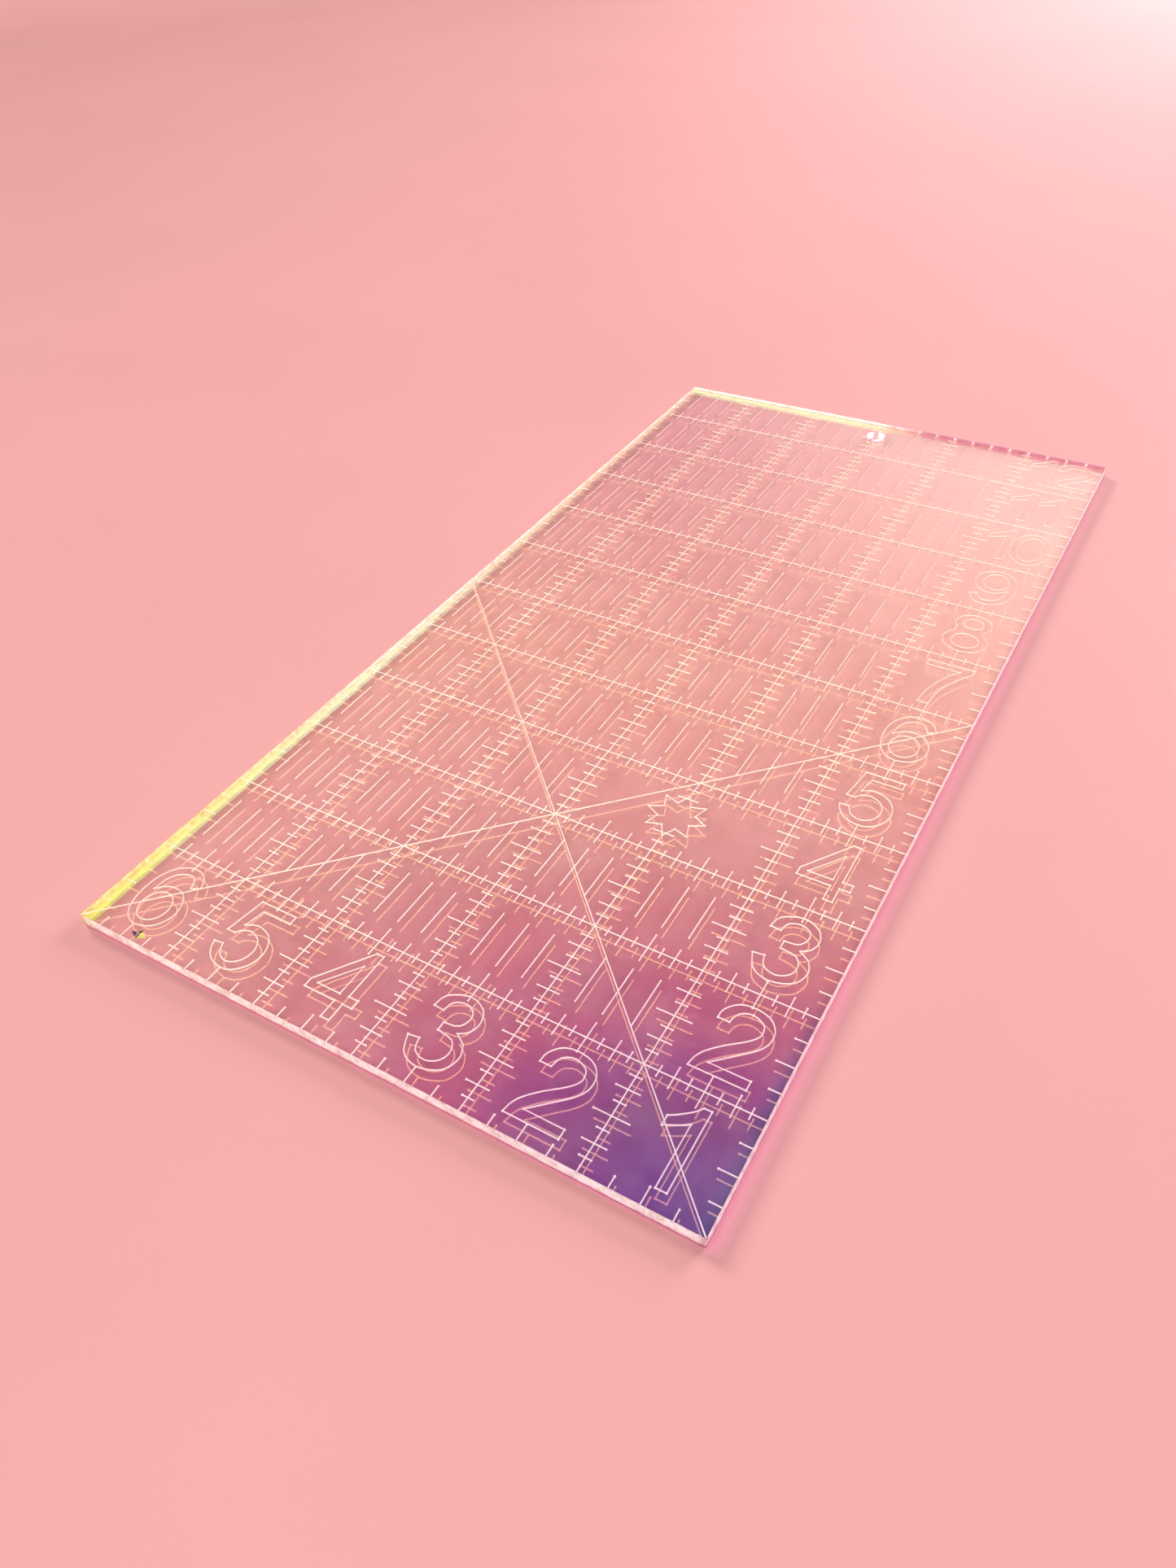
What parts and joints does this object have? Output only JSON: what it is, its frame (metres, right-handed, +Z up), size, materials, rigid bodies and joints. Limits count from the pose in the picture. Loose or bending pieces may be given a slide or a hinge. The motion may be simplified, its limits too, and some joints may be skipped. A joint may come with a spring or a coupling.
{
  "type": "quilting ruler",
  "caption": "Rectangular clear acrylic quilting ruler with an engraved inch grid, edge ticks, outline numerals, crossing 45 degree lines and an iridescent film underneath.",
  "frame": {"origin": "centre of the ruler's footprint, on the underside of the iridescent film (bottom centre of the bounding box)", "axes": "+X across the short side, towards the edge with the column of numerals; +Y along the long side, away from the row of numerals; +Z up, out of the engraved face"},
  "size_m": [0.1524, 0.3048, 0.0032],
  "materials": {
    "clear_acrylic": "polished clear cast acrylic with frosted engraving and frosted laser-cut sides",
    "optical_adhesive": "clear laminating adhesive",
    "iridescent_film": "glossy iridescent film, violet to pink to cream with the angle of view"
  },
  "bodies": {
    "root": {"acrylic_sheet": "clear_acrylic", "adhesive_layer": "optical_adhesive", "iridescent_film": "iridescent_film"}
  },
  "joints": []
}
